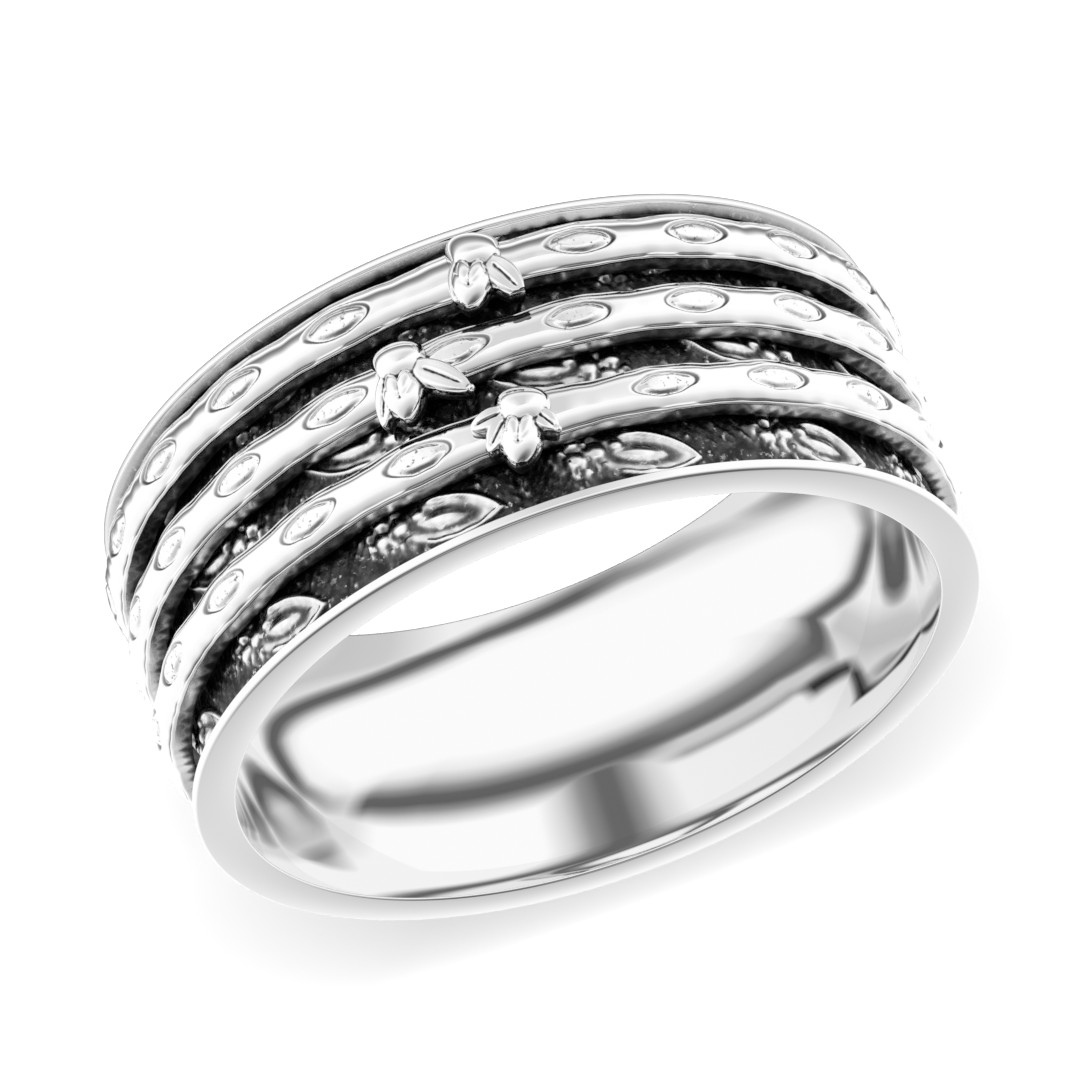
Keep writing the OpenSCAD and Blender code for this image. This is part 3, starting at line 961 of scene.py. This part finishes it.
def painted_bore_reflection(tree, x, y):
    """Painted reflection on the floor inside the ring: its glow, seen in reflections only."""
    aside = maths(tree, "SUBTRACT", x, PAINTED_SOFTBOX[0])
    beyond = maths(tree, "SUBTRACT", y, PAINTED_SOFTBOX[1])
    away = length_of(tree, aside, beyond)
    turn = maths(tree, "MULTIPLY_ADD", maths(tree, "ARCTAN2", beyond, aside), 1 / TAU, 0.5)
    past_edge = maths(tree, "SUBTRACT", away, ramp(tree, turn, *PAINTED_SOFTBOX_EDGE))
    across = maths(tree, "ADD", maths(tree, "DIVIDE", past_edge, ramp(tree, turn, *RING_WIDTH)), RING_STARTS)
    plain = ramp(tree, across, *RING)
    doubled = maths(tree, "SUBTRACT", ramp(tree, across, *DOUBLE_RING), plain)
    light = maths(tree, "MULTIPLY_ADD", ramp(tree, turn, *DOUBLED), doubled, plain)
    light = mix_to(tree, ramp(tree, turn, *RING_LEFT), light)
    paper = mix_to(tree, ramp(tree, away, *PAINTED_PAPER_STARTS), ramp(tree, turn, *PAINTED_PAPER))
    light = maths(tree, "MINIMUM", light, paper)
    from_stroke = maths(tree, "ABSOLUTE", maths(tree, "SUBTRACT", x, STROKE_X))
    stroke = ramp(tree, from_stroke, *STROKE_SIDE)
    light = maths(tree, "MULTIPLY", light, mix_to(tree, ramp(tree, y, *STROKE), stroke))
    return maths(tree, "MULTIPLY", light, BORE_WHITE)


# A painted reflection on the floor round the ring, which only polished metal mirrors. By distance from the
# axis,
# in units of OUTER_UNIT bore radii: a painted shadow line round the ring's foot, and how much of the grey
# strip there is.
OUTER_UNIT = 5
FOOT_SHADOW = [
    (0.2215, 0.1), (0.2232, 0.35), (0.2245, 1.0), (0.2315, 1.0), (0.236, 0.15), (0.248, 0.3), (0.270, 1.0),
]
STRIP_BY_DISTANCE = [(0.235, 0), (0.33, 1)]
# The strip lies towards the camera: how much of it there is by -y, and its greys by x over y plus STRIP_ASIDE
STRIP_BY_Y = [(0.8, 0), (1.0, 1)]
STRIP_ASIDE = 0.3
STRIP = [(0.0, 1), (0.36, 0.68), (0.55, 0.66), (1.0, 1)]
# The brightness of white here
OUTER_WHITE = 1.06


def painted_outer_reflection(tree, x, y):
    """Brightness of the floor round the ring, in reflections only: a painted shadow line round its foot, and
    a grey strip, a painted reflection that stands for the camera and its cloth."""
    from_axis = maths(tree, "MULTIPLY", length_of(tree, x, y), 1 / OUTER_UNIT)
    foot = ramp(tree, from_axis, *FOOT_SHADOW)
    aside = maths(tree, "ADD", maths(tree, "DIVIDE", x, y), STRIP_ASIDE)
    strip = ramp(tree, aside, *STRIP)
    near = ramp(tree, maths(tree, "MULTIPLY", y, -1), *STRIP_BY_Y)
    near = maths(tree, "MULTIPLY", near, ramp(tree, from_axis, *STRIP_BY_DISTANCE))
    bright = maths(tree, "MULTIPLY", foot, OUTER_WHITE)
    return maths(tree, "MULTIPLY", bright, mix_to(tree, near, strip))


def mirror_apart(tree, out, seen, mirrored):
    """Gives out the shader seen, and to polished metal the shader mirrored in its place."""
    mix = add(tree, "ShaderNodeMixShader")
    tree.links.new(add(tree, "ShaderNodeLightPath").outputs["Is Glossy Ray"], mix.inputs["Fac"])
    tree.links.new(seen.outputs[0], mix.inputs[1])
    tree.links.new(mirrored.outputs[0], mix.inputs[2])
    tree.links.new(mix.outputs[0], out.inputs[0])


# The floor: half its size and its gap under the ring in metres, its white, and how far the painted reflection
# for the bore reaches, in bore radii
FLOOR_HALF = 1.5
FLOOR_GAP = 0.00001
FLOOR_WHITE = 0.93
WITHIN = 1.02


def make_floor():
    """A white floor, lit by the lamps. Polished metal mirrors instead a glowing painted reflection in its
    place.
    """
    z = -HALF_W * MM - FLOOR_GAP
    mesh = bpy.data.meshes.new("floor")
    corners = [(-1, -1), (1, -1), (1, 1), (-1, 1)]
    mesh.from_pydata([(x * FLOOR_HALF, y * FLOOR_HALF, z) for x, y in corners], [], [(0, 1, 2, 3)])
    floor = new_object("floor", mesh)
    material = bpy.data.materials.new("white_floor")
    tree = node_tree(material)
    out = add(tree, "ShaderNodeOutputMaterial")
    plain = add(tree, "ShaderNodeBsdfDiffuse")
    plain.inputs["Color"].default_value = (FLOOR_WHITE, FLOOR_WHITE, FLOOR_WHITE, 1)
    split = add(tree, "ShaderNodeSeparateXYZ")
    tree.links.new(add(tree, "ShaderNodeTexCoord").outputs["Object"], split.inputs[0])
    x = maths(tree, "MULTIPLY", split.outputs["X"], 1 / (BORE_R * MM))
    y = maths(tree, "MULTIPLY", split.outputs["Y"], 1 / (BORE_R * MM))
    within = maths(tree, "LESS_THAN", length_of(tree, x, y), WITHIN)
    inner = maths(tree, "MULTIPLY", painted_bore_reflection(tree, x, y), within)
    outer = maths(tree, "MULTIPLY", painted_outer_reflection(tree, x, y), maths(tree, "SUBTRACT", 1, within))
    # painted reflection: a glow that only polished metal sees
    painted_reflection = add(tree, "ShaderNodeEmission")
    tree.links.new(maths(tree, "ADD", inner, outer), painted_reflection.inputs["Strength"])
    mirror_apart(tree, out, plain, painted_reflection)
    mesh.materials.append(material)


# The light tent: what metal mirrors of it by height, from the horizon at 0 to the zenith at 1, and the even
# glow that it gives the floor
TENT = [
    (0.0, 1.05), (0.25, 1.0), (0.47, 0.74), (0.60, 0.62), (0.75, 0.28), (0.88, 0.1), (0.95, 0.2), (1.0, 0.5),
]
EVEN_GLOW = 0.12


def make_world():
    """A light tent: in reflections white low down, dark higher up and grey at the zenith, and an even glow
    for the floor."""
    world = bpy.data.worlds.new("tent")
    bpy.context.scene.world = world
    tree = node_tree(world)
    out = add(tree, "ShaderNodeOutputWorld")
    split = add(tree, "ShaderNodeSeparateXYZ")
    tree.links.new(add(tree, "ShaderNodeTexCoord").outputs["Generated"], split.inputs[0])
    mirrored = add(tree, "ShaderNodeBackground")
    tree.links.new(ramp(tree, split.outputs["Z"], *TENT), mirrored.inputs["Color"])
    even = add(tree, "ShaderNodeBackground")
    even.inputs["Strength"].default_value = EVEN_GLOW
    mirror_apart(tree, out, even, mirrored)


# The lamps: places and sizes in metres, and the sun's angle in radians. Metal doesn't mirror them, so only
# the floor shows them.
LOW_LAMP_AT = (0.0, -1.08, 0.435)
LOW_LAMP_SIZE = (1.6, 0.06)
LOW_LAMP_WATTS = 67
OVERHEAD_AT = (0, 0, 0.3)
SUN_STRENGTH = 0.5
SUN_ANGLE = 0.6
SPOT_WATTS = 3.2


def aim_lamp(name, kind, at, energy, target=(0, 0, 0)):
    """A lamp that shines on the floor and isn't mirrored."""
    data = bpy.data.lights.new(name, kind)
    data.energy = energy
    lamp = new_object(name, data)
    lamp.location = Vector(at)
    lamp.rotation_mode = "QUATERNION"
    lamp.rotation_quaternion = (Vector(target) - lamp.location).to_track_quat("-Z", "Y")
    lamp.visible_glossy = False
    return data


def make_lamps():
    """A long low lamp that casts the faint streak of shadow, an overhead sun, and a spot that shines down
    the finger hole."""
    low = aim_lamp("low_lamp", "AREA", LOW_LAMP_AT, LOW_LAMP_WATTS)
    low.shape = "RECTANGLE"
    low.size, low.size_y = LOW_LAMP_SIZE
    aim_lamp("overhead", "SUN", OVERHEAD_AT, SUN_STRENGTH).angle = SUN_ANGLE
    spot = aim_lamp("hole_spot", "SPOT", OVERHEAD_AT, SPOT_WATTS)
    spot.spot_size = 2 * math.atan(BORE_R * MM / OVERHEAD_AT[2])
    spot.spot_blend = 0
    spot.shadow_soft_size = 0.0


make_camera()
make_world()
make_floor()
make_lamps()
bpy.context.scene.view_settings.view_transform = "Standard"
# light runs round inside the polished bore many times before it leaves
bpy.context.scene.cycles.glossy_bounces = 12

sleeve_finish = silver("sleeve_finish", **SLEEVE_FINISH)
sleeve = make_sleeve()
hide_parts("base_band")
front_relief = make_relief("front_relief", MIDDLE_Z, CHANNEL_Z + STRIP_SINK)
back_relief = make_relief("back_relief", -CHANNEL_Z - STRIP_SINK, MIDDLE_Z)
for piece in (sleeve, front_relief, back_relief):
    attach(piece, "sleeve")
    piece.data.materials.append(sleeve_finish)
band_finish = silver("band_finish", **BAND_FINISH)
for band, seed in zip(BANDS, BAND_SEEDS):
    make_band(*band, seed).data.materials.append(band_finish)
for (node, body, _, _, at), (lean, wings) in zip(BANDS, BEES):
    make_bee(node, body, at, lean, wings).data.materials.append(band_finish)
